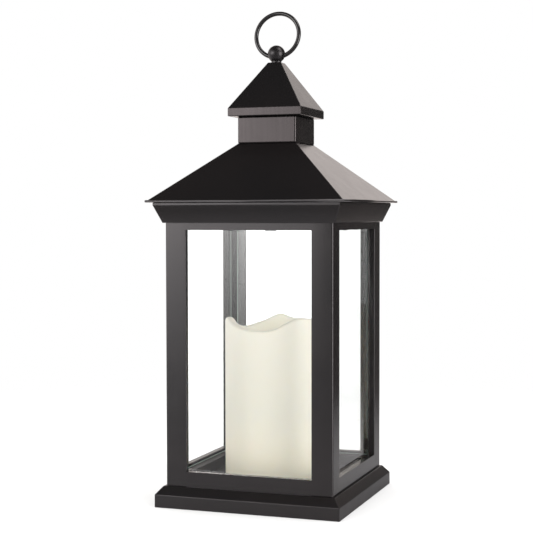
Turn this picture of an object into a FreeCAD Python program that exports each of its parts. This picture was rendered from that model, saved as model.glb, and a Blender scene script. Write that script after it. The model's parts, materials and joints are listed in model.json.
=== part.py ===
import FreeCAD, Part
import os
import re
import Sketcher
from FreeCAD import Placement, Rotation, Vector

# Candle lantern in millimetres: +Z up, origin under the middle of the plinth, front face towards -Y.

SIZES = [
    # Plinth and floor
    ("plinth_out", 6.5, "how far the plinth stands out from the body"),
    ("plinth_band", 9.0, "height of the plinth's upright band"),
    ("plinth_height", 14.75, "top of the plinth, where the walls stand"),
    ("plinth_bevel", 4.9, "how far the bevel steps in"),
    ("plinth_hem", 5.0, "width of the folded foot rim"),
    ("floor_rise", 8.25, "height of the floor plate's rim above the plinth"),
    ("well_margin", 0.7, "width of the rim between the clips' feet and the well"),
    # Glazed body
    ("body_half", 62.0, "half width across the outer faces"),
    ("sheet_gauge", 1.0, "thickness of the sheet metal"),
    ("stile_width", 15.6, "width of a corner stile"),
    ("frame_depth", 4.3, "depth of the window lips"),
    ("corner_round", 1.2, "outer radius of the folded corners"),
    ("sill_rise", 10.75, "height of the low rails"),
    ("window_height", 171.5, "height of the windows"),
    ("rail_height", 18.4, "height of the top rails"),
    ("pane_gauge", 2.0, "thickness of the glass"),
    ("pane_lap", 5.9, "how far a pane reaches behind the stiles"),
    ("pane_rise", 2.5, "how far a pane reaches above the window"),
    # Cornice, roof, neck and cap
    ("cornice_drop", 13.4, "depth of the cornice below the top of the walls"),
    ("cornice_lip", 1.6, "how far the cornice's foot stands out from the body"),
    ("cornice_out", 6.75, "how far the cornice's band stands out from the body"),
    ("cornice_rise", 12.2, "height of the cornice's slope"),
    ("crown_inset", 6.0, "how far the opening under the roof lies inside the body"),
    ("roof_out", 4.2, "how far the roof's flange stands out past the cornice"),
    ("roof_edge", 1.7, "thickness of the roof's flange"),
    ("roof_step", 1.55, "width of the flange outside the roof's slope"),
    ("roof_rise", 40.85, "height of the roof's slope"),
    ("neck_half", 22.2, "half width of the neck"),
    ("neck_height", 19.75, "height of the neck"),
    ("cap_half", 27.8, "half width of the cap"),
    ("cap_band", 5.8, "height of the cap's band"),
    ("cap_rise", 34.3, "height of the cap's slope"),
    ("cap_top", 4.95, "half width of the cap's flat top"),
    # Finial and ring
    ("ball_radius", 6.4, "radius of the finial ball"),
    ("ball_lift", 6.35, "height of the ball's centre above the cap"),
    ("collar_radius", 3.7, "radius of the collar under the ball"),
    ("stud_radius", 2.0, "radius of the finial's stud"),
    ("stud_tail", 7.0, "length of the stud below the roof's deck"),
    ("washer_radius", 6.0, "radius of the stud's washer"),
    ("washer_gauge", 1.2, "thickness of the stud's washer"),
    ("nut_radius", 4.0, "corner radius of the stud's nut"),
    ("nut_height", 3.2, "height of the stud's nut"),
    ("ring_radius", 16.45, "radius of the ring at the middle of its wire"),
    ("ring_wire", 1.55, "radius of the ring's wire"),
    ("ring_play", 0.5, "clearance round the ring's wire in its hole"),
    ("ring_drop", 1.7, "how far the ring's hole lies below the ball's centre"),
    ("ring_lean", 9.0, "degrees that the ring leans to the rear"),
    # Rear door
    ("door_gap", 0.4, "gap round the door"),
    ("floor_gap", 0.4, "gap between floor plate and window lips"),
    ("pin_radius", 1.25, "radius of the hinge pin"),
    ("pin_play", 0.05, "running clearance of the hinge pin"),
    ("seat_play", 0.02, "clearance of a fixed pin or stud in its seat"),
    ("knob_inset", 7.5, "knob's distance from the door's free edge"),
    ("knob_radius", 4.5, "radius of the door knob"),
    ("knob_neck", 2.0, "radius of the knob's neck"),
    ("knob_length", 9.0, "how far the knob stands out"),
    ("magnet_inset", 10.4, "distance of the catch from the door's stile"),
    ("magnet_length", 12.0, "length of the catch magnet"),
    ("magnet_depth", 5.0, "depth of the catch magnet"),
    ("magnet_height", 6.0, "height of the catch magnet"),
    ("strike_length", 14.0, "length of the strike plate"),
    # Fasteners and clips
    ("screw_radius", 1.25, "radius of a screw's shank"),
    ("screw_head", 2.4, "radius of a screw's head"),
    ("head_depth", 1.2, "height of a screw's head"),
    ("screw_reach", 2.4, "length of a screw past the sheets' joint"),
    ("screw_inset", 16.4, "distance of a screw from the end of its rail"),
    ("clip_width", 8.0, "width of a pane clip"),
    ("clip_gauge", 0.8, "thickness of a pane clip"),
    ("clip_side", 15.0, "distance of an upper clip from the middle"),
    ("foot_inset", 2.4, "distance of a lower clip from the stile"),
    ("clip_lap", 3.0, "how far a clip reaches over its pane"),
    ("clip_foot", 6.0, "length of a lower clip's foot"),
    ("tab_rise", 6.5, "height of the door pane's side clips above the low rail"),
    # Candle
    ("candle_radius", 37.85, "outer radius of the wax"),
    ("candle_wall", 6.5, "thickness of the wax at the rim"),
    ("rim_height", 112.65, "mean height of the rim above the well"),
    ("rim_wave", 4.8, "height of the rim's waves above its mean"),
    ("rim_turn", 79.0, "degrees from +X to a crest of the rim"),
    ("rim_recess", 22.0, "depth of the recess below the mean rim"),
    ("wax_floor", 5.0, "thickness of the wax under the recess"),
    ("case_radius", 34.4, "outer radius of the battery housing"),
    ("case_wall", 1.6, "wall of the battery housing"),
    ("case_lift", 2.5, "height of the housing above the well"),
    ("case_height", 26.0, "height of the battery housing"),
    ("case_play", 0.3, "gap between housing and wax"),
    ("lid_gauge", 2.0, "thickness of the housing's lid"),
    ("post_radius", 5.6, "outer radius of the lamp post"),
    ("post_bore", 2.5, "radius of the lamp post's wire bore"),
    ("lamp_radius", 4.0, "radius of the lamp"),
    ("lamp_height", 12.0, "height of the lamp above its post"),
    ("board_radius", 20.0, "radius of the circuit board"),
    ("board_gauge", 1.6, "thickness of the circuit board"),
    ("cell_radius", 5.25, "radius of a battery cell"),
    ("cell_length", 44.5, "length of a battery cell"),
    ("cell_gap", 0.2, "gap round a battery cell"),
    ("contact_gauge", 0.5, "thickness of a contact plate"),
    ("contact_reach", 2.0, "length of a contact's nub"),
    ("contact_half", 3.5, "half width of a contact plate"),
    ("cover_gauge", 1.8, "thickness of the battery cover"),
    ("cover_rim", 4.0, "how far the cover overlaps the ends of the bay"),
    ("cover_play", 0.15, "gap round the battery cover"),
    ("bolt_radius", 1.0, "radius of the cover screw"),
    ("bolt_length", 7.0, "length of the cover screw"),
    ("switch_side", 26.0, "distance of the switch from the candle's axis"),
    ("switch_length", 4.0, "length of the switch's slider"),
    ("switch_width", 2.4, "width of the switch's slider"),
    ("switch_height", 4.0, "height of the switch's slider"),
    ("switch_stand", 1.4, "how far the slider stands out of the housing"),
    ("switch_travel", 4.0, "travel of the switch"),
    ("switch_play", 0.3, "gap round the switch's slider"),
]

doc = FreeCAD.newDocument("candle_lantern")
sheet = doc.addObject("Spreadsheet::Sheet", "Sizes")
for row, (alias, size, meaning) in enumerate(SIZES, start=1):
    sheet.set(f"A{row}", meaning)
    sheet.set(f"B{row}", str(size))
    sheet.setAlias(f"B{row}", alias)
doc.recompute()

# Levels and half widths that several pieces share, as expressions on the sheet
PLINTH = "(body_half + plinth_out)"
CORNICE_FOOT = "(body_half + cornice_lip)"
CORNICE = "(body_half + cornice_out)"
OPENING = "(body_half - crown_inset)"
ROOF = "(body_half + cornice_out + roof_out)"
ROOF_FOOT = "(body_half + cornice_out + roof_out - roof_step)"
FLOOR = "(plinth_height + floor_rise)"
WELL = "(plinth_height + sheet_gauge)"
SILL = "(plinth_height + sill_rise)"
HEAD = "(plinth_height + sill_rise + window_height)"
WALL_TOP = "(plinth_height + sill_rise + window_height + rail_height)"
CORNICE_LOW = f"({WALL_TOP} - cornice_drop)"
KNOB_Z = f"({SILL} + window_height / 2)"
TAB_Z = f"({SILL} + tab_rise)"
WINDOW = "(body_half - stile_width)"
CATCH = "(body_half - stile_width - magnet_inset)"
SCREW_SIDE = "(body_half - stile_width - screw_inset)"
FOOT_SIDE = "(body_half - stile_width - foot_inset)"
LIP = "(body_half - frame_depth)"
INNER_WALL = "(body_half - sheet_gauge)"
PANE_FACE = "(body_half - frame_depth - pane_gauge)"
PANE_EDGE = "(body_half - stile_width + pane_lap)"
PANE_TOP = f"({HEAD} + pane_rise)"
FLOOR_HALF = "(body_half - frame_depth - floor_gap)"
SHELF = "(plinth_height - sheet_gauge)"
CROWN = f"({WALL_TOP} + sheet_gauge)"
ROOF_BASE = f"({WALL_TOP} + sheet_gauge + roof_edge)"
DECK = f"({WALL_TOP} + sheet_gauge + roof_edge + roof_rise)"
CAP_BASE = f"({DECK} + neck_height)"
CAP_SHOULDER = f"({CAP_BASE} + cap_band)"
CAP_SUMMIT = f"({CAP_SHOULDER} + cap_rise)"
BALL_HEIGHT = f"({CAP_SUMMIT} + ball_lift)"
RING_AXIS = f"({BALL_HEIGHT} - ring_drop)"
RING_SAG = "((ring_radius - sqrt(ring_radius^2 - ball_radius^2)) / 2)"
DOOR_LOW = "(plinth_height + door_gap)"
DOOR_HIGH = f"({CORNICE_LOW} - door_gap)"
DOOR_EDGE = "(body_half - sheet_gauge - door_gap)"
HINGE_X = "(body_half - sheet_gauge - door_gap - frame_depth / 2)"
HINGE_Y = "(body_half - frame_depth / 2)"
BASE_LINE = "(body_half - frame_depth / 2)"
ROOF_LINE = f"(({OPENING} + body_half - sheet_gauge) / 2)"
RIM = f"({WELL} + rim_height)"
RECESS = f"({WELL} + rim_height - rim_recess)"
WAX_CEILING = f"({WELL} + rim_height - rim_recess - wax_floor)"
CASE_LOW = f"({WELL} + case_lift)"
CASE_TOP = f"({WELL} + case_lift + case_height)"
CELL_AXIS = f"({WELL} + case_lift + cover_gauge + cell_gap + cell_radius)"
CELL_PITCH = "(2 * cell_radius + cell_gap)"
BAY_X = "(cell_length / 2 + contact_reach + contact_gauge)"
BAY_Y = "(3 * cell_radius + 3 * cell_gap)"
BAY_TOP = f"({WELL} + case_lift + cover_gauge + 2 * cell_radius + 2 * cell_gap)"

PIECES = []
SIDES = {"front": 0, "right": 90, "rear": 180, "left": 270}


def link(text):
    """Point every size named in an expression at its cell."""
    return re.sub(r"\b[a-z]+_[a-z_]+\b", r"Sizes.\g<0>", text)


def number(text):
    """Value of an expression on the sheet."""
    return float(sheet.evalExpression(link(text)))


def bind(thing, **sizes):
    """Bind properties to expressions; px, py and pz stand for the place."""
    place = {"px": "Placement.Base.x", "py": "Placement.Base.y", "pz": "Placement.Base.z"}
    for name, text in sizes.items():
        thing.setExpression(place.get(name, name), link(text))
    return thing


def publish(thing, label):
    """Name a finished piece and keep it for export."""
    thing.Label = label
    PIECES.append(thing)
    return thing


def block(name, low, high, bottom, top):
    """Square frustum about the Z axis from one half width to another."""
    wedge = doc.addObject("Part::Wedge", name)
    bind(wedge, Ymin=bottom, Ymax=top)
    for axis in "XZ":
        wedge.setExpression(f"{axis}max", link(low))
        wedge.setExpression(f"{axis}min", link(f"-({low})"))
        wedge.setExpression(f"{axis}2max", link(high))
        wedge.setExpression(f"{axis}2min", link(f"-({high})"))
    wedge.Placement = Placement(Vector(0, 0, 0), Rotation(Vector(1, 0, 0), 90))
    return wedge


def slab(name, side, along, depth, height):
    """Box beside one face; each span is a pair, with depth counted outwards from the axis."""
    box = doc.addObject("Part::Box", name)
    outward = depth if side in ("right", "rear") else (f"-({depth[1]})", f"-({depth[0]})")
    x, y = (along, outward) if side in ("front", "rear") else (outward, along)
    bind(box, px=x[0], py=y[0], pz=height[0])
    bind(box, Length=f"({x[1]}) - ({x[0]})", Width=f"({y[1]}) - ({y[0]})")
    return bind(box, Height=f"({height[1]}) - ({height[0]})")


def rod(name, x, y, bottom, top, radius):
    """Upright cylinder."""
    return bind(doc.addObject("Part::Cylinder", name), px=x, py=y, pz=bottom,
                Radius=radius, Height=f"({top}) - ({bottom})")


def lying_rod(name, x, y, z, length, radius):
    """Cylinder along +X from x."""
    bar = doc.addObject("Part::Cylinder", name)
    bar.Placement = Placement(Vector(0, 0, 0), Rotation(Vector(0, 1, 0), 90))
    return bind(bar, px=x, py=y, pz=z, Radius=radius, Height=length)


def fuse(name, shapes):
    """One solid from shapes that touch or overlap."""
    joined = doc.addObject("Part::MultiFuse", name)
    joined.Shapes = shapes
    joined.Refine = True
    return joined


def cut(name, base, tools):
    """A shape less one or more tools."""
    result = doc.addObject("Part::Cut", name)
    result.Base = base
    result.Tool = tools[0] if len(tools) == 1 else group(f"{name}_tools", tools)
    return result


def group(name, shapes):
    """Separate solids kept together."""
    bunch = doc.addObject("Part::Compound", name)
    bunch.Links = shapes
    return bunch


def outline(body, name, plane, points):
    """Closed sketch whose corners are pairs of expressions."""
    sketch = body.newObject("Sketcher::SketchObject", name)
    support = next(part for part in body.Origin.OriginFeatures if part.Role == plane)
    sketch.AttachmentSupport = [(support, "")]
    sketch.MapMode = "FlatFace"
    corners = [Vector(number(x), number(y), 0) for x, y in points]
    count = len(corners)
    for index in range(count):
        sketch.addGeometry(Part.LineSegment(corners[index], corners[(index + 1) % count]))
    for index in range(count):
        sketch.addConstraint(Sketcher.Constraint("Coincident", index, 2, (index + 1) % count, 1))
    for index, (x, y) in enumerate(points):
        for kind, text, value in (("DistanceX", x, corners[index].x), ("DistanceY", y, corners[index].y)):
            place = sketch.addConstraint(Sketcher.Constraint(kind, -1, 1, index, 1, value))
            sketch.setExpression(f"Constraints[{place}]", link(text))
    return sketch


def prism(name, plane, points, length, symmetric=True):
    """Body padded from an outline, both ways from its plane or upwards."""
    body = doc.addObject("PartDesign::Body", name)
    pad = body.newObject("PartDesign::Pad", f"{name}_pad")
    pad.Profile = outline(body, f"{name}_outline", plane, points)
    bind(pad, Length=length)
    if symmetric:
        pad.SideType = "Symmetric"
    body.Tip = pad
    return body


def turned(name, points):
    """Body turned about its own Z axis from a half outline of radius and height."""
    body = doc.addObject("PartDesign::Body", name)
    sketch = outline(body, f"{name}_outline", "XZ_Plane", points)
    turn = body.newObject("PartDesign::Revolution", f"{name}_turn")
    turn.Profile = sketch
    turn.ReferenceAxis = (sketch, ["V_Axis"])
    turn.Angle = 360
    body.Tip = turn
    return body


def round_corner(body, x, y):
    """Round the upright edge of a padded body at one corner of its outline."""
    doc.recompute()
    pad = body.Tip
    for index, edge in enumerate(pad.Shape.Edges, start=1):
        ends = [vertex.Point for vertex in edge.Vertexes]
        if all(abs(end.x - x) < 1e-6 and abs(end.y - y) < 1e-6 for end in ends):
            fillet = body.newObject("PartDesign::Fillet", f"{body.Name}_round")
            fillet.Base = (pad, [f"Edge{index}"])
            bind(fillet, Radius="corner_round")
            body.Tip = fillet
            return
    raise RuntimeError(f"{body.Name}: no upright edge at its corner")


def channel(name, side, length, low, high, upper=LIP):
    """Rail of folded sheet: a face with a lip along its lower and its upper edge."""
    plane, sign = {"front": ("YZ_Plane", "-"), "rear": ("YZ_Plane", ""),
                   "left": ("XZ_Plane", "-"), "right": ("XZ_Plane", "")}[side]
    face = f"{sign}body_half"
    lip = f"{sign}{LIP}"
    back = f"{sign}{INNER_WALL}"
    ledge = f"{sign}{upper}"
    points = [(face, low), (lip, low), (lip, f"{low} + sheet_gauge"), (back, f"{low} + sheet_gauge"),
              (back, f"{high} - sheet_gauge"), (ledge, f"{high} - sheet_gauge"), (ledge, high), (face, high)]
    return prism(name, plane, points, length)


def screw(name, x, y, joint):
    """Pan-head screw driven upwards, its head under the sheet below the joint."""
    seat = f"{joint} - sheet_gauge"
    shank = rod(f"{name}_shank", x, y, seat, f"{joint} + screw_reach", "screw_radius")
    head = rod(f"{name}_head", x, y, f"{seat} - head_depth", seat, "screw_head")
    return fuse(name, [shank, head])


def rail_spots(sides, depth):
    """Places of the screws along the rails of the sides given."""
    spots = []
    for side in sides:
        for sign in ("-", ""):
            along = f"{sign}{SCREW_SIDE}"
            line = depth if side in ("right", "rear") else f"-{depth}"
            spots.append((along, line) if side in ("front", "rear") else (line, along))
    return spots


def screw_row(name, spots, joint):
    """A group of screws and the group of holes that they go through."""
    screws = [screw(f"{name}_{index}", x, y, joint) for index, (x, y) in enumerate(spots)]
    holes = [rod(f"{name}_hole_{index}", x, y, f"{joint} - 2 * sheet_gauge", f"{joint} + screw_reach",
                 "screw_radius + seat_play") for index, (x, y) in enumerate(spots)]
    return group(name, screws), group(f"{name}_holes", holes)


# Screws under the plinth and under the roof, and the holes that the sheets need for them
base_spots = rail_spots(["front", "left", "right"], BASE_LINE)
base_screws, base_holes = screw_row("under_screws", base_spots, "plinth_height")
roof_screws, roof_holes = screw_row("crown_screws", rail_spots(SIDES, ROOF_LINE), WALL_TOP)
publish(base_screws, "base_screws")
publish(roof_screws, "roof_screws")

# Plinth: a pressed tray with a band, a bevel, a flat shelf and a folded foot rim
plinth_skin = fuse("plinth_skin", [
    block("plinth_band_block", PLINTH, PLINTH, "0", "plinth_band"),
    block("plinth_bevel_block", PLINTH, f"{PLINTH} - plinth_bevel", "plinth_band", "plinth_height")])
plinth_hollow = fuse("plinth_hollow", [
    block("plinth_mouth", f"{PLINTH} - plinth_hem", f"{PLINTH} - plinth_hem", "0", "sheet_gauge"),
    block("plinth_room", f"{PLINTH} - sheet_gauge", f"{PLINTH} - sheet_gauge", "sheet_gauge", "plinth_band"),
    block("plinth_slope", f"{PLINTH} - sheet_gauge", f"{PLINTH} - plinth_bevel", "plinth_band", SHELF)])
plinth_pin_hole = rod("plinth_pin_hole", HINGE_X, HINGE_Y, SHELF, "plinth_height", "pin_radius + seat_play")
publish(cut("pressed_plinth", plinth_skin, [plinth_hollow, base_holes, plinth_pin_hole]), "plinth")

# Floor plate: a raised rim that carries the panes round a well for the candle, notched for the catch magnet
WELL_HALF = f"({PANE_FACE} - clip_foot - well_margin)"
floor_tray = block("floor_tray", FLOOR_HALF, FLOOR_HALF, "plinth_height", FLOOR)
floor_hollow = block("floor_hollow", f"{FLOOR_HALF} - sheet_gauge", f"{FLOOR_HALF} - sheet_gauge",
                     "plinth_height", f"{FLOOR} - sheet_gauge")
well_cup = block("well_cup", f"{WELL_HALF} + sheet_gauge", f"{WELL_HALF} + sheet_gauge", "plinth_height", FLOOR)
floor_room = cut("floor_room", floor_hollow, [well_cup])
floor_well = block("floor_well", WELL_HALF, WELL_HALF, WELL, FLOOR)
magnet_span = (f"-{CATCH} - magnet_length / 2", f"-{CATCH} + magnet_length / 2")
notch_span = (f"{magnet_span[0]} - seat_play", f"{magnet_span[1]} + seat_play")
floor_notch = slab("floor_notch", "rear", notch_span, (f"{FLOOR_HALF} - 2 * sheet_gauge", FLOOR_HALF),
                   ("plinth_height", "plinth_height + magnet_height + seat_play"))
publish(cut("floor_sheet", floor_tray, [floor_room, floor_well, floor_notch]), "floor_plate")
publish(slab("magnet_bar", "rear", magnet_span, (f"{FLOOR_HALF} - magnet_depth", FLOOR_HALF),
             ("plinth_height", "plinth_height + magnet_height")), "catch_magnet")

# Front corner posts: angles with a lip along both windows and a rounded fold
WALL_RISE = f"{WALL_TOP} - plinth_height"
POST_FOLD = [("0", "0"), ("stile_width", "0"), ("stile_width", "frame_depth"),
             ("stile_width - sheet_gauge", "frame_depth"), ("stile_width - sheet_gauge", "sheet_gauge"),
             ("sheet_gauge", "sheet_gauge"), ("sheet_gauge", "stile_width - sheet_gauge"),
             ("frame_depth", "stile_width - sheet_gauge"), ("frame_depth", "stile_width"), ("0", "stile_width")]
for hand, sign in (("left", "-"), ("right", "")):
    fold = [(f"{sign}(body_half - ({u}))", f"-(body_half - ({v}))") for u, v in POST_FOLD]
    post = prism(f"front_{hand}_angle", "XY_Plane", fold, WALL_RISE, symmetric=False)
    round_corner(post, number(f"{sign}body_half"), number("-body_half"))
    bind(post, pz="plinth_height")
    publish(post, f"front_{hand}_post")

# Rear corner posts: the side faces run on to the door, with a lip along the side window
JAMB_FOLD = [("0", "body_half"), ("0", WINDOW), ("frame_depth", WINDOW),
             ("frame_depth", f"{WINDOW} + sheet_gauge"), ("sheet_gauge", f"{WINDOW} + sheet_gauge"),
             ("sheet_gauge", "body_half")]
for hand, sign in (("left", "-"), ("right", "")):
    fold = [(f"{sign}(body_half - ({u}))", v) for u, v in JAMB_FOLD]
    post = prism(f"rear_{hand}_jamb", "XY_Plane", fold, WALL_RISE, symmetric=False)
    bind(post, pz="plinth_height")
    publish(post, f"rear_{hand}_post")

# Rails, panes and pane clips of the three fixed sides
clips = []
for side in ("front", "right", "left"):
    low_rail = channel(f"{side}_low_fold", side, f"2 * {WINDOW}", "plinth_height", SILL)
    publish(cut(f"{side}_low_bored", low_rail, [base_holes]), f"{side}_low_rail")
    top_rail = channel(f"{side}_top_fold", side, f"2 * {WINDOW}", HEAD, WALL_TOP, OPENING)
    publish(cut(f"{side}_top_bored", top_rail, [roof_holes]), f"{side}_top_rail")
    publish(slab(f"{side}_glass", side, (f"-{PANE_EDGE}", PANE_EDGE), (PANE_FACE, LIP),
                 (FLOOR, PANE_TOP)), f"{side}_pane")
    for sign in ("-", ""):
        upper = (f"{sign}clip_side - clip_width / 2", f"{sign}clip_side + clip_width / 2")
        lower = (f"{sign}{FOOT_SIDE} - clip_width / 2", f"{sign}{FOOT_SIDE} + clip_width / 2")
        spot = f"{side}_{'a' if sign else 'b'}"
        hang = f"({WALL_TOP} - sheet_gauge - clip_gauge)"
        clips.append(fuse(f"upper_clip_{spot}", [
            slab(f"upper_arm_{spot}", side, upper, (PANE_FACE, INNER_WALL), (hang, f"{hang} + clip_gauge")),
            slab(f"upper_leaf_{spot}", side, upper, (f"{PANE_FACE} - clip_gauge", PANE_FACE),
                 (f"{PANE_TOP} - clip_lap", f"{hang} + clip_gauge"))]))
        clips.append(fuse(f"lower_clip_{spot}", [
            slab(f"lower_foot_{spot}", side, lower, (f"{PANE_FACE} - clip_foot", PANE_FACE),
                 (FLOOR, f"{FLOOR} + clip_gauge")),
            slab(f"lower_leaf_{spot}", side, lower, (f"{PANE_FACE} - clip_gauge", PANE_FACE),
                 (FLOOR, f"{SILL} - clip_gauge"))]))
publish(group("clip_set", clips), "pane_clips")

# Head rail over the door, which holds the top of the hinge pin
head_fold = channel("head_fold", "rear", f"2 * {INNER_WALL}", CORNICE_LOW, WALL_TOP, OPENING)
head_pin_hole = rod("head_pin_hole", HINGE_X, HINGE_Y, CORNICE_LOW, f"{CORNICE_LOW} + sheet_gauge",
                    "pin_radius + seat_play")
publish(cut("head_bored", head_fold, [roof_holes, head_pin_hole]), "rear_head_rail")
publish(rod("pin_wire", HINGE_X, HINGE_Y, SHELF, f"{CORNICE_LOW} + sheet_gauge", "pin_radius"), "hinge_pin")

# Cornice: four mitred strips with a foot ledge, a slope, a band and a ledge under the roof
CORNICE_FOLD = [("body_half + seat_play", CORNICE_LOW), (CORNICE_FOOT, CORNICE_LOW),
                (CORNICE, f"{CORNICE_LOW} + cornice_rise"), (CORNICE, CROWN),
                (OPENING, CROWN), (OPENING, WALL_TOP),
                (f"{CORNICE} - sheet_gauge", WALL_TOP),
                (f"{CORNICE} - sheet_gauge", f"{CORNICE_LOW} + cornice_rise"),
                (f"{CORNICE_FOOT} - sheet_gauge", f"{CORNICE_LOW} + sheet_gauge"),
                ("body_half + seat_play", f"{CORNICE_LOW} + sheet_gauge")]
for side, angle in SIDES.items():
    strip = prism(f"{side}_cornice_fold", "YZ_Plane", [(f"-({v})", z) for v, z in CORNICE_FOLD],
                  f"2 * {CORNICE}")
    for hand, sign in (("left", "-"), ("right", "")):
        mitre = strip.newObject("PartDesign::Pocket", f"{side}_{hand}_mitre")
        mitre.Profile = outline(strip, f"{side}_{hand}_mitre_outline", "XY_Plane", [
            ("0", "0"), (f"{sign}2 * {CORNICE}", f"-2 * {CORNICE}"), (f"{sign}2 * {CORNICE}", "0")])
        mitre.Type = "ThroughAll"
        mitre.SideType = "Symmetric"
        strip.Tip = mitre
    strip.Placement = Placement(Vector(0, 0, 0), Rotation(Vector(0, 0, 1), angle))
    publish(cut(f"{side}_cornice_bored", strip, [roof_holes]), f"cornice_{side}")

# Roof: a pressed pyramid with a flat deck, a thin flange and a rim that rests on the cornice
roof_lean = f"(({ROOF_FOOT} - neck_half) / roof_rise)"
roof_wall = f"(sheet_gauge * sqrt(1 + {roof_lean}^2))"
roof_skin = fuse("roof_skin", [
    block("roof_flange", ROOF, ROOF, CROWN, ROOF_BASE),
    block("roof_pyramid", ROOF_FOOT, "neck_half", ROOF_BASE, DECK)])
roof_hollow = fuse("roof_hollow", [
    block("roof_mouth", OPENING, OPENING, CROWN, ROOF_BASE),
    block("roof_room", f"{ROOF_FOOT} - {roof_wall}", f"neck_half + {roof_lean} * sheet_gauge - {roof_wall}",
          ROOF_BASE, f"{DECK} - sheet_gauge")])
stud_hole = rod("stud_hole", "0", "0", f"{DECK} - 2 * sheet_gauge", f"{CAP_SUMMIT} + sheet_gauge",
                "stud_radius + seat_play")
publish(cut("pressed_roof", roof_skin, [roof_hollow, stud_hole, roof_holes]), "roof")

# Neck, cap and the plate that closes the cap
neck_skin = block("neck_skin", "neck_half", "neck_half", DECK, CAP_BASE)
neck_room = block("neck_room", "neck_half - sheet_gauge", "neck_half - sheet_gauge", DECK, CAP_BASE)
publish(cut("neck_tube", neck_skin, [neck_room]), "neck")
cap_lean = "((cap_half - cap_top) / cap_rise)"
cap_wall = f"(sheet_gauge * sqrt(1 + {cap_lean}^2))"
cap_skin = fuse("cap_skin", [
    block("cap_band_block", "cap_half", "cap_half", CAP_BASE, CAP_SHOULDER),
    block("cap_pyramid", "cap_half", "cap_top", CAP_SHOULDER, CAP_SUMMIT)])
cap_hollow = fuse("cap_hollow", [
    block("cap_mouth", "cap_half - sheet_gauge", "cap_half - sheet_gauge", CAP_BASE, CAP_SHOULDER),
    block("cap_room", f"cap_half - {cap_wall}", f"cap_top + {cap_lean} * sheet_gauge - {cap_wall}",
          CAP_SHOULDER, f"{CAP_SUMMIT} - sheet_gauge")])
publish(cut("pressed_cap", cap_skin, [cap_hollow, stud_hole]), "cap")
CAP_PLATE = "(cap_half - sheet_gauge - seat_play)"
plate_sheet = block("plate_sheet", CAP_PLATE, CAP_PLATE, CAP_BASE, f"{CAP_BASE} + sheet_gauge")
publish(cut("plate_bored", plate_sheet, [stud_hole]), "cap_plate")

# Finial: ball, collar and long stud in one, with a cross hole for the ring, held by washer and nut
ball = bind(doc.addObject("Part::Sphere", "ball"), Radius="ball_radius", pz=BALL_HEIGHT)
collar = rod("collar", "0", "0", CAP_SUMMIT, BALL_HEIGHT, "collar_radius")
stud = rod("stud", "0", "0", f"{DECK} - stud_tail", BALL_HEIGHT, "stud_radius")
ring_hole = lying_rod("ring_hole", "-2 * ball_radius", "0", RING_AXIS, "4 * ball_radius",
                      f"ring_wire + {RING_SAG} + ring_play")
publish(cut("finial_bored", fuse("finial_body", [ball, collar, stud]), [ring_hole]), "finial")
WASHER_TOP = f"({DECK} - sheet_gauge)"
WASHER_LOW = f"({DECK} - sheet_gauge - washer_gauge)"
washer_disc = rod("washer_disc", "0", "0", WASHER_LOW, WASHER_TOP, "washer_radius")
washer_bore = rod("washer_bore", "0", "0", WASHER_LOW, WASHER_TOP, "stud_radius + seat_play")
publish(cut("washer_bored", washer_disc, [washer_bore]), "stud_washer")
nut_body = bind(doc.addObject("Part::Prism", "nut_body"), Circumradius="nut_radius", Height="nut_height",
                pz=f"{WASHER_LOW} - nut_height")
nut_body.Polygon = 6
nut_bore = rod("nut_bore", "0", "0", f"{WASHER_LOW} - nut_height", WASHER_LOW, "stud_radius + seat_play")
publish(cut("nut_bored", nut_body, [nut_bore]), "stud_nut")

# Hanging ring: a closed wire loop through the ball, leaning to the rear about its hole
ring_reach = f"(ring_radius - {RING_SAG})"
ring = doc.addObject("Part::Torus", "ring_loop")
ring.Placement = Placement(Vector(0, 0, 0), Rotation(Vector(1, 0, 0), 90 - number("ring_lean")))
bind(ring, Radius1="ring_radius", Radius2="ring_wire", py=f"sin(ring_lean) * {ring_reach}",
     pz=f"{RING_AXIS} + cos(ring_lean) * {ring_reach}")
publish(ring, "ring")

# Rear door: a rolled hinge stile, a free stile, two rails, pane, clips, strike and knob
DOOR_SPAN = (DOOR_LOW, DOOR_HIGH)
hinge_sheet = fuse("hinge_sheet", [
    slab("hinge_face", "rear", (WINDOW, HINGE_X), (INNER_WALL, "body_half"), DOOR_SPAN),
    slab("hinge_lip", "rear", (WINDOW, f"{WINDOW} + sheet_gauge"), (LIP, "body_half"), DOOR_SPAN),
    rod("hinge_bead", HINGE_X, HINGE_Y, DOOR_LOW, DOOR_HIGH, "frame_depth / 2")])
hinge_bore = rod("hinge_bore", HINGE_X, HINGE_Y, DOOR_LOW, DOOR_HIGH, "pin_radius + pin_play")
publish(cut("hinge_bored", hinge_sheet, [hinge_bore]), "door_hinge_stile")

KNOB_X = f"(knob_inset - {DOOR_EDGE})"
free_fold = [(f"-{DOOR_EDGE}", "body_half"), (f"-{DOOR_EDGE}", LIP), (f"sheet_gauge - {DOOR_EDGE}", LIP),
             (f"sheet_gauge - {DOOR_EDGE}", INNER_WALL), (f"-{WINDOW} - sheet_gauge", INNER_WALL),
             (f"-{WINDOW} - sheet_gauge", LIP), (f"-{WINDOW}", LIP), (f"-{WINDOW}", "body_half")]
free_sheet = prism("free_sheet", "XY_Plane", free_fold, f"{DOOR_HIGH} - {DOOR_LOW}", symmetric=False)
bind(free_sheet, pz=DOOR_LOW)
knob_hole = doc.addObject("Part::Cylinder", "knob_hole")
knob_hole.Placement = Placement(Vector(0, 0, 0), Rotation(Vector(1, 0, 0), -90))
bind(knob_hole, px=KNOB_X, py=INNER_WALL, pz=KNOB_Z, Radius="knob_neck + seat_play",
     Height="sheet_gauge")
publish(cut("free_bored", free_sheet, [knob_hole]), "door_free_stile")

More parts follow.
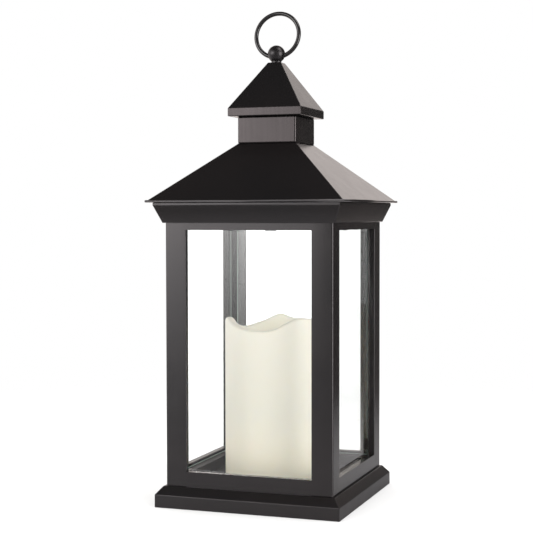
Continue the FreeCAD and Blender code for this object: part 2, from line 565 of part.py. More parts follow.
knob = turned("knob_turning", [
    ("0", "-1.5 * sheet_gauge"), ("knob_neck", "-1.5 * sheet_gauge"), ("knob_neck", "0.5 * knob_length"),
    ("0.8 * knob_radius", "0.6 * knob_length"), ("knob_radius", "0.75 * knob_length"),
    ("knob_radius", "0.85 * knob_length"), ("0.7 * knob_radius", "knob_length"), ("0", "knob_length")])
knob.Placement = Placement(Vector(0, 0, 0), Rotation(Vector(1, 0, 0), -90))
bind(knob, px=KNOB_X, py="body_half", pz=KNOB_Z)
publish(knob, "door_knob")

publish(channel("door_top_fold", "rear", f"2 * {WINDOW}", HEAD, DOOR_HIGH), "door_top_rail")
publish(channel("door_low_fold", "rear", f"2 * {WINDOW}", DOOR_LOW, SILL), "door_low_rail")
DOOR_PANE_LOW = f"({FLOOR} + door_gap)"
publish(slab("door_glass", "rear", (f"-{PANE_EDGE}", PANE_EDGE), (PANE_FACE, LIP),
             (DOOR_PANE_LOW, PANE_TOP)), "door_pane")
publish(slab("strike_sheet", "rear",
             (f"-{CATCH} - strike_length / 2", f"-{CATCH} + strike_length / 2"),
             (LIP, f"{LIP} + sheet_gauge"), (f"{DOOR_LOW} + sheet_gauge", f"{SILL} - sheet_gauge")),
        "strike_plate")
door_clips = []
for sign in ("-", ""):
    spot = "a" if sign else "b"
    upper = (f"{sign}clip_side - clip_width / 2", f"{sign}clip_side + clip_width / 2")
    clip_top = f"({DOOR_HIGH} - sheet_gauge)"
    door_clips.append(fuse(f"door_upper_clip_{spot}", [
        slab(f"door_upper_arm_{spot}", "rear", upper, (PANE_FACE, INNER_WALL),
             (f"{clip_top} - clip_gauge", clip_top)),
        slab(f"door_upper_leaf_{spot}", "rear", upper, (f"{PANE_FACE} - clip_gauge", PANE_FACE),
             (f"{PANE_TOP} - clip_lap", clip_top))]))
    wall = f"{PANE_EDGE} + seat_play"
    reach = f"{PANE_EDGE} - clip_lap"
    tip = f"{PANE_EDGE} + seat_play + clip_gauge"
    post_span = (f"-({tip})", f"-({wall})") if sign else (wall, tip)
    leaf_span = (f"-({tip})", f"-({reach})") if sign else (reach, tip)
    tab_span = (f"{TAB_Z} - clip_width / 2", f"{TAB_Z} + clip_width / 2")
    door_clips.append(fuse(f"door_side_clip_{spot}", [
        slab(f"door_side_post_{spot}", "rear", post_span, (PANE_FACE, INNER_WALL), tab_span),
        slab(f"door_side_leaf_{spot}", "rear", leaf_span, (f"{PANE_FACE} - clip_gauge", PANE_FACE), tab_span)]))
publish(group("door_clip_set", door_clips), "door_clips")

# Candle: wax shell with a wavy rim, cut by a surface that rises and falls in three waves
GRID = 7
reach = number("candle_radius")
turn = number("rim_turn")
crest = Rotation(Vector(0, 0, 1), -turn)
rows = []
for i in range(GRID):
    row = []
    for j in range(GRID):
        spot = Vector(2 * i / (GRID - 1) - 1, 2 * j / (GRID - 1) - 1, 0)
        seen = crest.multVec(spot)
        wave = seen.x ** 3 - 3 * seen.x * seen.y ** 2
        row.append(Vector(spot.x * reach, spot.y * reach, number(RIM) + number("rim_wave") * wave))
    rows.append(row)
rim_surface = Part.BSplineSurface()
rim_surface.interpolate(rows)
melted_top = doc.addObject("Part::Feature", "melted_top")
melted_top.Shape = rim_surface.toShape().extrude(Vector(0, 0, 10 * number("rim_wave")))
wax_block = rod("wax_block", "0", "0", WELL, f"{RIM} + 2 * rim_wave", "candle_radius")
wax_recess = rod("wax_recess", "0", "0", RECESS, f"{RIM} + 2 * rim_wave", "candle_radius - candle_wall")
wax_bore = rod("wax_bore", "0", "0", WAX_CEILING, RECESS, "lamp_radius + case_play")
wax_room = rod("wax_room", "0", "0", WELL, WAX_CEILING, "case_radius + case_play")
wax_shell = cut("wax_shell_cut", cut("wax_trimmed", wax_block, [melted_top]), [
    fuse("wax_hollow", [wax_recess, wax_bore, wax_room])])
publish(wax_shell, "wax_shell")

# Battery housing: a cup with the battery bay and the switch slot in its underside
COVER_X = f"({BAY_X} + cover_rim)"
COVER_Y = f"({BAY_Y} + case_wall)"
COVER_TOP = f"({CASE_LOW} + cover_gauge)"
BOLT_X = f"({BAY_X} + cover_rim / 2)"
BOARD_FLOOR = f"({BAY_TOP} + case_wall)"
SLOT_X = "(switch_travel / 2 + switch_length / 2 + switch_play)"
SLOT_Y = "(switch_width / 2 + switch_play)"
SLOT_TOP = f"({CASE_LOW} + switch_height - switch_stand + switch_play)"
case_cup = rod("case_cup", "0", "0", CASE_LOW, CASE_TOP, "case_radius")
case_room = rod("case_room", "0", "0", BOARD_FLOOR, CASE_TOP, "case_radius - case_wall")
case_bay = slab("case_bay", "rear", (f"-{BAY_X}", BAY_X), (f"-{BAY_Y}", BAY_Y), (CASE_LOW, BAY_TOP))
case_seat = slab("case_seat", "rear", (f"-{COVER_X}", COVER_X), (f"-{COVER_Y}", COVER_Y), (CASE_LOW, COVER_TOP))
case_slot = slab("case_slot", "front", (f"-{SLOT_X}", SLOT_X),
                 (f"switch_side - {SLOT_Y}", f"switch_side + {SLOT_Y}"), (CASE_LOW, SLOT_TOP))
bolt_hole = rod("bolt_hole", BOLT_X, "0", CASE_LOW, f"{CASE_LOW} + bolt_length", "bolt_radius + seat_play")
case_tools = fuse("case_tools", [case_room, fuse("case_pit", [case_bay, case_seat]), case_slot, bolt_hole])
publish(cut("case_hollowed", case_cup, [case_tools]), "battery_housing")
cover_sheet = slab("cover_sheet", "rear", (f"cover_play - {COVER_X}", f"{COVER_X} - cover_play"),
                   (f"cover_play - {COVER_Y}", f"{COVER_Y} - cover_play"), (CASE_LOW, COVER_TOP))
publish(cut("cover_bored", cover_sheet, [bolt_hole]), "battery_cover")
bolt_shank = rod("bolt_shank", BOLT_X, "0", CASE_LOW, f"{CASE_LOW} + bolt_length", "bolt_radius")
bolt_head = rod("bolt_head", BOLT_X, "0", f"{CASE_LOW} - head_depth", CASE_LOW, "2 * bolt_radius")
publish(fuse("cover_bolt", [bolt_shank, bolt_head]), "cover_screw")
publish(slab("slider", "front",
             ("-switch_travel / 2 - switch_length / 2", "switch_length / 2 - switch_travel / 2"),
             ("switch_side - switch_width / 2", "switch_side + switch_width / 2"),
             (f"{CASE_LOW} - switch_stand", f"{CASE_LOW} - switch_stand + switch_height")), "mode_switch")

# Cells side by side, each between a flat contact and a nubbed one
cells = []
contacts = []
for index in (-1, 0, 1):
    lane = f"{index} * {CELL_PITCH}"
    tag = index + 1
    cells.append(lying_rod(f"cell_{tag}", "-cell_length / 2", lane, CELL_AXIS, "cell_length", "cell_radius"))
    for hand, sign in (("left", "-"), ("right", "")):
        near = f"{sign}(cell_length / 2)"
        back = f"{sign}(cell_length / 2 + contact_reach)"
        wall = f"{sign}{BAY_X}"
        plate_x = (wall, back) if sign else (back, wall)
        nub_x = back if sign else near
        plate = slab(f"plate_{hand}_{tag}", "rear", plate_x,
                     (f"{lane} - contact_half", f"{lane} + contact_half"),
                     (f"{CELL_AXIS} - contact_half", f"{CELL_AXIS} + contact_half"))
        nub = lying_rod(f"nub_{hand}_{tag}", nub_x, lane, CELL_AXIS, "contact_reach", "contact_half / 2")
        contacts.append(fuse(f"contact_{hand}_{tag}", [plate, nub]))
publish(group("cell_set", cells), "battery_cells")
publish(group("contact_set", contacts), "battery_contacts")
BOARD_TOP = f"({BOARD_FLOOR} + board_gauge)"
publish(rod("board_disc", "0", "0", BOARD_FLOOR, BOARD_TOP, "board_radius"), "circuit_board")

# Lid with the lamp post, and the lamp that stands in the recess
POST_TOP = f"({WAX_CEILING} - case_play)"
lid_disc = rod("lid_disc", "0", "0", CASE_TOP, f"{CASE_TOP} + lid_gauge", "case_radius")
lid_post = rod("lid_post", "0", "0", CASE_TOP, POST_TOP, "post_radius")
lid_bore = rod("lid_bore", "0", "0", CASE_TOP, POST_TOP, "post_bore")
publish(cut("lid_bored", fuse("lid_body", [lid_disc, lid_post]), [lid_bore]), "housing_lid")
LENS_TOP = f"({POST_TOP} + lamp_height)"
lamp_stem = rod("lamp_stem", "0", "0", POST_TOP, f"{LENS_TOP} - lamp_radius", "lamp_radius")
lamp_dome = bind(doc.addObject("Part::Sphere", "lamp_dome"), Radius="lamp_radius",
                 pz=f"{LENS_TOP} - lamp_radius")
publish(fuse("lamp_lens", [lamp_stem, lamp_dome]), "led_lamp")

# Build, check every object and write one file for each piece
doc.recompute()
for thing in doc.Objects:
    if "Invalid" in thing.State or "Error" in thing.State:
        raise RuntimeError(f"{thing.Label} failed: {thing.State}")
os.makedirs("parts", exist_ok=True)
for piece in PIECES:
    if piece.Shape.isNull() or not piece.Shape.isValid() or not piece.Shape.Solids:
        raise RuntimeError(f"{piece.Label} has no valid solid")
    piece.Shape.exportStep(os.path.join("parts", f"{piece.Label}.step"))
    print(f"{piece.Label}: {len(piece.Shape.Solids)} solid(s), {piece.Shape.Volume:.1f} mm3")
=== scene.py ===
import json
import math

import bmesh
import bpy
from bpy.props import FloatProperty, FloatVectorProperty, IntProperty, PointerProperty
from mathutils import Matrix, Vector

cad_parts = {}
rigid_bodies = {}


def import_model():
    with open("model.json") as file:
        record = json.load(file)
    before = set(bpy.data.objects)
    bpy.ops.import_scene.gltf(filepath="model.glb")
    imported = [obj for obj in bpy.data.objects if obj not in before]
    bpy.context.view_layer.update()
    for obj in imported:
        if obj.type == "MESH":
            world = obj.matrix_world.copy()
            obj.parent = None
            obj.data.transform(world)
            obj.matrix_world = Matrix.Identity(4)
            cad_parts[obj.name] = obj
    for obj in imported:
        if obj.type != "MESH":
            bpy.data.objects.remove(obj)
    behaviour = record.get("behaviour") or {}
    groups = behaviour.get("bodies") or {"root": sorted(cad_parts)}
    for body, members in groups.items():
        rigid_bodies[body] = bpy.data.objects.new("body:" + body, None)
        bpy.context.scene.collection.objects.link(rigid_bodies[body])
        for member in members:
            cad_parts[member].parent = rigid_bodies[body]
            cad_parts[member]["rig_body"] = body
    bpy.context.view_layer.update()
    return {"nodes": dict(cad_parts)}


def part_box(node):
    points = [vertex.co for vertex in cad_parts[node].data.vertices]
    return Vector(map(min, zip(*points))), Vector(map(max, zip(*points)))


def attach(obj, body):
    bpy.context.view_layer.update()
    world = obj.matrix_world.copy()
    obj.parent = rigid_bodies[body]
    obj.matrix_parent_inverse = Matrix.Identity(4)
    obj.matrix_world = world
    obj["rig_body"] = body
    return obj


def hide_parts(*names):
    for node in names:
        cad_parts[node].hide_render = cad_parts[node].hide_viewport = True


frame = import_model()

bl_info = {
    "name": "Candle Lantern",
    "version": (1, 0, 0),
    "blender": (4, 5, 0),
    "location": "View3D > Sidebar > Lantern",
    "description": "Dresses the packed candle lantern: painted sheet, glass panes, wax candle and stage",
    "category": "Object",
}

MM = 0.001
# Points closer than MERGE become one, and what is closer than TOUCH to a line or plane lies on it
MERGE = 0.002 * MM
TOUCH = 0.05 * MM
# Only edges longer and sharper than these are rounded
LEAST_FOLD = 3.5 * MM
LEAST_TURN = math.radians(25)
# The windows, from the frame: half their width, and the heights of their sill and head
WINDOW_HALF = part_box("front_low_rail")[1].x
WINDOW_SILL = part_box("front_low_rail")[1].z
WINDOW_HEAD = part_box("front_top_rail")[0].z

SHEET_NODES = [
    "plinth", "floor_plate", "roof", "neck", "cap", "cap_plate",
    "front_left_post", "front_right_post", "rear_left_post", "rear_right_post",
    "front_low_rail", "left_low_rail", "right_low_rail",
    "front_top_rail", "left_top_rail", "right_top_rail", "rear_head_rail",
    "cornice_front", "cornice_left", "cornice_rear", "cornice_right",
    "door_hinge_stile", "door_free_stile", "door_top_rail", "door_low_rail",
]
PANE_NODES = ["front_pane", "left_pane", "right_pane", "door_pane"]
ZINC_NODES = [
    "base_screws", "roof_screws", "hinge_pin", "stud_nut", "stud_washer", "cover_screw", "strike_plate",
]
CLIP_NODES = ["pane_clips", "door_clips"]

# Crests, dips and slopes of the wax rim: degrees round the candle from +X, and millimetres above its foot
RIM_POINTS = [
    (20, 114.5), (65, 111.5), (90, 114), (105, 116.5), (125, 111.5), (155, 108), (200, 116.5), (215, 116.5),
    (230, 113), (250, 110), (270, 109), (285, 110), (300, 114.5), (315, 118), (355, 115.5),
]
# Points up the outer wall of the wax and down the wall of its hollow
WALL_STEPS = 18
HOLLOW_STEPS = 6

# Soft lamps: place in metres, width in metres and power in watts
LAMPS = {
    "key_softbox": ((-0.3, -1.7, 0.72), 1.2, 7.9),
    "left_softbox": ((-1.6, -0.3, 0.5), 1.2, 7.5),
    "right_softbox": ((1.6, -0.45, 0.62), 2.2, 22.0),
    "top_softbox": ((0.0, 0.3, 1.6), 1.2, 5.0),
}
LAMP_AIM = Vector((0, 0, 0.12))
# Brightness of the parts of the studio that paint and glass mirror, where 1 is white
MIRRORED = {"back": 1.18, "dark_side": 0.05, "ceiling": 0.02, "front": 0.35, "softbox": 6.3, "top_strip": 5.0,
            "side_strip": 7.0, "card": 1.3}
TOP_STRIP = (0.55, 0.05, 0.83)
SIDE_STRIP = (0.96, -0.27, 0.05)


class LanternSettings(bpy.types.PropertyGroup):
    """Sizes and colours of the sheet metal and the panes."""

    fold_round: FloatProperty(name="Fold radius", description="Rounding of the folded sheet's edges",
                              default=0.45 * MM, unit="LENGTH")
    edge_round: FloatProperty(name="Main edge radius", default=0.5 * MM, unit="LENGTH",
                              description="Rounding of the roof, cap and plinth edges")
    neck_round: FloatProperty(name="Neck corner radius", description="Rounding of the neck's corners",
                              default=1.3 * MM, unit="LENGTH")
    paint_colour: FloatVectorProperty(name="Paint", description="Satin black paint", subtype="COLOR",
                                      default=(0.0063, 0.0060, 0.0063))
    paint_warm: FloatVectorProperty(name="Warm paint", description="Warmer patches in the paint",
                                    subtype="COLOR", default=(0.0084, 0.0072, 0.0072))
    paint_sheen: FloatVectorProperty(name="Paint sheen", description="Tint of what the paint mirrors",
                                     subtype="COLOR", default=(1.0, 0.955, 0.975))
    rolled_sheen: FloatVectorProperty(name="Rolled sheen", subtype="COLOR", default=(1.0, 0.89, 0.90),
                                      description="Tint of what the neck and the cap's band mirror")
    paint_rough: FloatProperty(name="Paint roughness", description="Roughness of the satin paint",
                               default=0.21, subtype="FACTOR", min=0, max=1)
    gloss_rough: FloatProperty(name="Gloss roughness", description="Roughness of the ring and the knob",
                               default=0.12, subtype="FACTOR", min=0, max=1)
    glass_edge: FloatVectorProperty(name="Glass edge", description="Green of the ground glass edges",
                                    subtype="COLOR", default=(0.56, 0.66, 0.615))
    edge_arris: FloatProperty(name="Glass arris", description="Ground edge of a pane", default=0.35 * MM,
                              unit="LENGTH")


class CandleSettings(bpy.types.PropertyGroup):
    """Sizes and colours of the wax."""

    wax_colour: FloatVectorProperty(name="Wax", description="Ivory wax", subtype="COLOR",
                                    default=(0.775, 0.730, 0.648))
    # Partly painted light: the wax near the foot is set yellower, and also lighter so as to offset the shade
    # that falls at the foot.
    wax_foot_tone_and_light: FloatVectorProperty(name="Deep wax", description="Yellower wax near the foot",
                                  subtype="COLOR", default=(0.97, 0.865, 0.71))
    # Painted light: the wax inside the hollow is made lighter, standing in for light through the thin rim and
    # offsetting the shade in the hollow.
    wax_hollow_painted_light: FloatVectorProperty(name="Inner wax", description="Lighter wax inside the thin rim",
                                   subtype="COLOR", default=(0.92, 0.88, 0.785))
    rim_turned: FloatProperty(name="Rim height", description="Height of the rim as turned, before it melts",
                              default=112.65 * MM, unit="LENGTH")
    rim_wall: FloatProperty(name="Rim wall", description="Thickness of the wax at the rim",
                            default=6.5 * MM, unit="LENGTH")
    rim_lip: FloatProperty(name="Rim lip", description="Rounding of the wax rim", default=2.2 * MM,
                           unit="LENGTH")
    hollow_depth: FloatProperty(name="Hollow depth", description="Depth of the hollow below the turned rim",
                                default=22.0 * MM, unit="LENGTH")
    hollow_floor: FloatProperty(name="Hollow floor", description="Wax under the hollow", default=5.0 * MM,
                                unit="LENGTH")
    works_gap: FloatProperty(name="Works gap", description="Play round the lamp and the battery housing",
                             default=0.3 * MM, unit="LENGTH")
    wax_steps: IntProperty(name="Wax steps", description="Facets round the candle", default=160, min=3)


class StageSettings(bpy.types.PropertyGroup):
    """The floor, the light and colours of the surroundings, and the camera."""

    floor_radius: FloatProperty(name="Floor radius", description="Reach of the pale floor", default=1.2,
                                unit="LENGTH")
    floor_drop: FloatProperty(name="Floor drop", description="Gap between the foot and the floor",
                              default=0.2 * MM, unit="LENGTH")
    floor_colour: FloatVectorProperty(name="Floor", description="Pale floor", subtype="COLOR",
                                      default=(0.93, 0.93, 0.93))
    floor_mirrored: FloatVectorProperty(name="Mirrored floor", description="The floor as paint mirrors it",
                                        subtype="COLOR", default=(0.54, 0.53, 0.54))
    wall_colour: FloatVectorProperty(name="Walls", description="Light from the studio walls", subtype="COLOR",
                                     default=(1.0, 0.985, 0.98))
    back_colour: FloatVectorProperty(name="Back wall", description="Warmer back wall, as paint mirrors it",
                                     subtype="COLOR", default=(1.0, 0.91, 0.87))
    fill_light: FloatProperty(name="Fill light", description="Strength of the even light from all round",
                              default=1.08)
    glass_lift: FloatProperty(name="Glass lift", default=0.8,
                              description="Added strength of the white seen through the panes")
    lens: FloatProperty(name="Lens", description="Focal length on a 36 mm sensor", default=89.93,
                        unit="CAMERA")
    camera_place: FloatVectorProperty(name="Camera", description="Place of the camera", subtype="TRANSLATION",
                                      default=(0.32198, -0.92654, 0.208455))
    camera_turn: FloatVectorProperty(name="Camera turn", description="Heading, pitch and roll in degrees",
                                     default=(19.604, 2.274, -0.098))


class Value:
    """A shader socket that takes part in Python arithmetic."""

    def __init__(self, shader, socket):
        self.shader = shader
        self.socket = socket

    def math(self, operation, *terms):
        """Adds a Math node on these terms."""
        return self.shader.node("ShaderNodeMath", {"operation": operation}, dict(enumerate(terms)))

    def __add__(self, other):
        return self.math("ADD", self, other)

    __radd__ = __add__

    def __sub__(self, other):
        return self.math("SUBTRACT", self, other)

    def __rsub__(self, other):
        return self.math("SUBTRACT", other, self)

    def __mul__(self, other):
        return self.math("MULTIPLY", self, other)

    __rmul__ = __mul__

    def __gt__(self, other):
        return self.math("GREATER_THAN", self, other)

    def __lt__(self, other):
        return self.math("LESS_THAN", self, other)

    def __abs__(self):
        return self.math("ABSOLUTE", self)

    def most(self, other):
        """The larger of two values."""
        return self.math("MAXIMUM", self, other)


def colour(parts):
    """Three parts as an opaque colour. A socket stays as it is."""
    return parts if isinstance(parts, Value) else (*parts, 1.0)


def darker(parts, share):
    """A colour at a share of its brightness."""
    return tuple(share * part for part in parts)


def swing(pattern, amount):
    """A pattern's rise and fall about its middle, times an amount."""
    return amount * (pattern - 0.5)


class Shader:
    """The node tree of one material or of the world."""

    def __init__(self, owner):
        self.owner = owner
        owner.use_nodes = True
        self.tree = owner.node_tree
        self.tree.nodes.clear()

    def node(self, kind, changes=None, inputs=None, out=0):
        """Adds a node, makes its settings, then fills its sockets with numbers or links."""
        made = self.tree.nodes.new(kind)
        for name, value in (changes or {}).items():
            setattr(made, name, value)
        for name, value in (inputs or {}).items():
            socket = made.inputs[name]
            if isinstance(value, Value):
                self.tree.links.new(value.socket, socket)
            else:
                socket.default_value = value
        return Value(self, made.outputs[out]) if made.outputs else None

    def where(self, kind="Object"):
        """Coordinates of the shaded point."""
        return self.node("ShaderNodeTexCoord", out=kind)

    def part(self, vector, axis):
        """One part of a vector."""
        return self.node("ShaderNodeSeparateXYZ", inputs={"Vector": vector}, out=axis)

    def vector(self, operation, *terms, out="Value"):
        """Adds a Vector Math node on these terms."""
        return self.node("ShaderNodeVectorMath", {"operation": operation}, dict(enumerate(terms)), out)

    def ray(self, kind):
        """What Light Path says of the ray."""
        return self.node("ShaderNodeLightPath", out=kind)

    def noise(self, scale, detail=2.0, stretch=(1, 1, 1)):
        """Noise on Object coordinates, stretched along the axes."""
        place = self.node("ShaderNodeMapping", inputs={"Vector": self.where(), "Scale": stretch})
        return self.node("ShaderNodeTexNoise", inputs={"Vector": place, "Scale": scale, "Detail": detail})

    def blend(self, factor, first, second):
        """Mixes two colours."""
        return self.node("ShaderNodeMix", {"data_type": "RGBA"}, {
            0: factor, 6: colour(first), 7: colour(second)}, out=2)

    def span(self, value, low, high, to_low=0.0, to_high=1.0):
        """Maps a value from one span to another, eased and clamped."""
        return self.node("ShaderNodeMapRange", {"interpolation_type": "SMOOTHSTEP"}, {
            "Value": value, "From Min": low, "From Max": high, "To Min": to_low, "To Max": to_high})

    def bump(self, height, distance, strength):
        """A normal raised and sunk by a pattern."""
        return self.node("ShaderNodeBump", inputs={
            "Height": height, "Distance": distance, "Strength": strength})

    def finish(self, surface):
        """Ends the material in a surface."""
        self.node("ShaderNodeOutputMaterial", inputs={"Surface": surface})
        return self.owner

    def surface(self, inputs):
        """A Principled surface."""
        return self.node("ShaderNodeBsdfPrincipled", inputs=inputs)


def new_shader(name):
    """The empty node tree of a new material."""
    return Shader(bpy.data.materials.new(name))


def satin_paint(name, look, streaks=0.0, dull=0.0, sheen=None):
    """Satin black paint on sheet steel, with a fine orange peel and faint rolling streaks."""
    s = new_shader(name)
    patches = s.noise(9.0, detail=3.0)
    cloud = s.noise(70.0, detail=4.0)
    peel = s.noise(900.0)
    rolled = s.noise(1.0, detail=3.0, stretch=(1150, 1150, 12))
    height = 0.25 * peel + (0.1 + 2.4 * streaks) * rolled
    return s.finish(s.surface({
        "Base Color": s.blend(s.span(patches, 0.35, 0.65), look.paint_colour, look.paint_warm),
        "Roughness": look.paint_rough + dull + swing(cloud, 0.08) + swing(rolled, 0.05 + streaks),
        "Specular IOR Level": 0.5 - 0.8 * dull, "Specular Tint": colour(sheen or look.paint_sheen),
        "Normal": s.bump(height, distance=0.06 * MM, strength=0.5)}))


def gloss_paint(name, look):
    """Glossier black paint on the ring and the knob."""
    s = new_shader(name)
    cloud = s.noise(160.0, detail=3.0)
    peel = s.noise(1400.0)
    return s.finish(s.surface({
        "Base Color": s.blend(s.span(cloud, 0.3, 0.7), look.paint_colour, look.paint_warm),
        "Roughness": look.gloss_rough + swing(cloud, 0.08), "Specular IOR Level": 0.35,
        "Coat Weight": 0.2, "Coat Roughness": 0.04,
        "Normal": s.bump(peel, distance=0.03 * MM, strength=0.4)}))


def plated_steel(name, tint, rough, brush):
    """Bright plating with fine drawn lines and dulled patches."""
    s = new_shader(name)
    cloud = s.noise(220.0, detail=4.0)
    lines = s.noise(1.0, stretch=brush)
    return s.finish(s.surface({
        "Base Color": s.blend(s.span(cloud, 0.35, 0.75), tint, darker(tint, 0.72)), "Metallic": 1.0,
        "Roughness": rough + swing(cloud, 0.14) + swing(lines, 0.10),
        "Normal": s.bump(lines, distance=0.03 * MM, strength=0.5)}))


def moulded_plastic(name, tint, rough):
    """Moulded plastic with a fine spark texture and slight flow marks."""
    s = new_shader(name)
    flow = s.noise(38.0, detail=3.0)
    spark = s.noise(1800.0)
    return s.finish(s.surface({
        "Base Color": s.blend(s.span(flow, 0.3, 0.7), tint, darker(tint, 0.86)),
        "Roughness": rough + swing(spark, 0.1), "Normal": s.bump(spark, distance=0.05 * MM, strength=0.6)}))


def sintered_ferrite(name):
    """Matt dark magnet with a granular surface."""
    s = new_shader(name)
    grain = s.noise(2600.0, detail=4.0)
    return s.finish(s.surface({
        "Base Color": s.blend(grain, (0.035, 0.036, 0.040), (0.085, 0.085, 0.090)),
        "Roughness": 0.55 + swing(grain, 0.3), "Normal": s.bump(grain, distance=0.08 * MM, strength=0.7)}))


def circuit_laminate(name):
    """Green solder mask over copper tracks."""
    s = new_shader(name)
    tracks = s.node("ShaderNodeTexBrick", {"offset": 0.5}, {
        "Vector": s.where(), "Scale": 260.0, "Mortar Size": 0.08}, out="Fac")
    weave = s.noise(1500.0)
    return s.finish(s.surface({
        "Base Color": s.blend(tracks, (0.012, 0.085, 0.030), (0.035, 0.17, 0.060)),
        "Roughness": 0.3 + swing(weave, 0.15), "Normal": s.bump(tracks, distance=0.04 * MM, strength=0.6)}))


def cell_sleeve(name):
    """Plain sleeve of the cells, with a coloured band at one end and bright ends."""
    s = new_shader(name)
    along = s.part(s.where(), "X")
    band = along > 10.0 * MM
    ends = abs(along) > 22.05 * MM
    scuff = s.noise(420.0, detail=3.0)
    body = s.blend(band, (0.030, 0.034, 0.042), (0.36, 0.20, 0.055))
    return s.finish(s.surface({
        "Base Color": s.blend(ends, body, (0.62, 0.61, 0.58)), "Metallic": ends,
        "Roughness": 0.26 + swing(scuff, 0.16), "Normal": s.bump(scuff, distance=0.02 * MM, strength=0.4)}))


def amber_lens(name):
    """Warm translucent lamp lens, lit from inside."""
    s = new_shader(name)
    swirl = s.noise(700.0, detail=3.0)
    tone = s.blend(swirl, (0.93, 0.72, 0.36), (0.86, 0.58, 0.22))
    return s.finish(s.surface({
        "Base Color": tone, "Roughness": 0.18 + 0.1 * swirl, "Transmission Weight": 0.25, "IOR": 1.49,
        "Emission Color": tone, "Emission Strength": 0.25,
        "Normal": s.bump(swirl, distance=0.04 * MM, strength=0.4)}))


def ivory_wax(name, look):
    """Ivory wax: yellower near the foot and painted lighter there against the shade at the foot, painted
    lighter inside the hollow for light through the thin rim, faintly mottled, with a soft glow under its
    skin.
    """
    s = new_shader(name)
    where = s.where()
    flat = s.vector("MULTIPLY", where, (1, 1, 0), out="Vector")
    # Painted light: inside the hollow the wax blends to a lighter colour, for light through the thin rim and
    # against the shade in the hollow.
    inside = s.span(s.vector("LENGTH", flat), 33.5 * MM, 35.8 * MM, 1.0, 0.0)
    # Partly painted light: towards the foot the wax blends to a yellower colour that is also lighter,
    # offsetting the shade at the foot.
    foot = s.span(s.part(where, "Z"), 10 * MM, 70 * MM, 1.0, 0.0)
    mottle = s.noise(55.0, detail=4.0)
    fine = s.noise(480.0, detail=3.0)
    drips = s.noise(1.0, detail=3.0, stretch=(130, 130, 26))
    skin = s.blend(foot + swing(mottle, 0.10), look.wax_colour, look.wax_foot_tone_and_light)
    return s.finish(s.surface({
        "Base Color": s.blend(inside, skin, look.wax_hollow_painted_light), "Roughness": 0.42 + swing(mottle, 0.14),
        "IOR": 1.44, "Specular IOR Level": 0.4,
        "Subsurface Weight": 0.3, "Subsurface Radius": (4 * MM, 3 * MM, 2 * MM), "Subsurface Scale": 1.0,
        "Normal": s.bump(0.5 * mottle + 0.25 * fine + 0.5 * drips, distance=0.4 * MM, strength=0.35)}))


def clear_glass(name):
    """Clear float glass that lets the lamps through to what stands behind it."""
    s = new_shader(name)
    haze = s.noise(18.0, detail=3.0)
    glass = s.surface({
        "Base Color": s.blend(haze, (0.995, 1.0, 0.998), (0.975, 0.990, 0.983)), "Roughness": 0.0,
        "Transmission Weight": 1.0, "IOR": 1.5})
    clear = s.node("ShaderNodeBsdfTransparent", inputs={"Color": colour((0.94, 0.955, 0.945))})
    passing = s.ray("Is Shadow Ray").most(s.ray("Is Diffuse Ray"))
    return s.finish(s.node("ShaderNodeMixShader", inputs={0: passing, 1: glass, 2: clear}))


def ground_edge(name, look):
    """Ground glass edge, pale green and frosted."""
    s = new_shader(name)
    grind = s.noise(1600.0, detail=3.0)
    return s.finish(s.surface({
        "Base Color": s.blend(grind, look.glass_edge, darker(look.glass_edge, 0.75)),
        "Roughness": 0.35 + swing(grind, 0.3), "IOR": 1.5,
        "Normal": s.bump(grind, distance=0.05 * MM, strength=0.6)}))


def deselect():
    """Leaves nothing selected, in object mode."""
    if bpy.context.object and bpy.context.object.mode != "OBJECT":
        bpy.ops.object.mode_set(mode="OBJECT")
    bpy.ops.object.select_all(action="DESELECT")


def take(piece):
    """Makes one piece the only selected and active one."""
    deselect()
    piece.select_set(True)
    bpy.context.view_layer.objects.active = piece


def set_material(piece, *materials):
    """Gives a piece these materials and no other."""
    piece.data.materials.clear()
    for material in materials:
        piece.data.materials.append(material)


def paint_faces(piece, main, other, chosen):
    """Finishes a piece in one material, and the faces that a test chooses in another."""
    set_material(piece, main, other)
    for face in piece.data.polygons:
        face.material_index = 1 if chosen(face) else 0


def dress(names, material):
    """Gives CAD nodes that keep their shape a better material."""
    for name in names:
        set_material(frame["nodes"][name], material)


def body_of(node):
    """The body that a node rides on."""
    return frame["nodes"][node]["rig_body"]


def stand_for(piece, node):
    """Puts a piece in a node's place: it rides on the node's body, and the node is hidden."""
    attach(piece, body_of(node))
    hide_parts(node)


def is_jamb(node):
    """Whether a node is a post or a stile, which stand beside a window."""
    return "post" in node or "stile" in node


def is_upright(face):
    """Whether a face stands upright."""
    return abs(face.normal.z) < 0.3


def in_reveal(face):
    """Whether a face is a lip that looks into a window."""
    looks = [axis for axis in (0, 1) if abs(face.normal[axis]) > 0.9]
    beside = bool(looks) and abs(abs(face.center[looks[0]]) - WINDOW_HALF) < 2 * TOUCH
    return beside and WINDOW_SILL < face.center.z < WINDOW_HEAD


def in_seam(edge):
    """Whether an edge lies where a rail butts against a post, above or below the window."""
    heights = [corner.co.z for corner in edge.verts]
    apart = max(heights) < WINDOW_SILL + TOUCH or min(heights) > WINDOW_HEAD - TOUCH
    return apart and any(all(abs(abs(corner.co[axis]) - WINDOW_HALF) < TOUCH for corner in edge.verts)
                         for axis in (0, 1))


def mark_folds(mesh):
    """Marks long outward edges for rounding, but neither the foot nor the seams between posts and rails."""
    form = bmesh.new()
    form.from_mesh(mesh)
    weights = form.edges.layers.float
    layer = weights.get("bevel_weight_edge") or weights.new("bevel_weight_edge")
    for edge in form.edges:
        outward = len(edge.link_faces) == 2 and edge.calc_face_angle_signed() > LEAST_TURN
        rests = max(corner.co.z for corner in edge.verts) < TOUCH
        rounded = outward and edge.calc_length() > LEAST_FOLD and not rests and not in_seam(edge)
        edge[layer] = 1.0 if rounded else 0.0
    form.to_mesh(mesh)
    form.free()


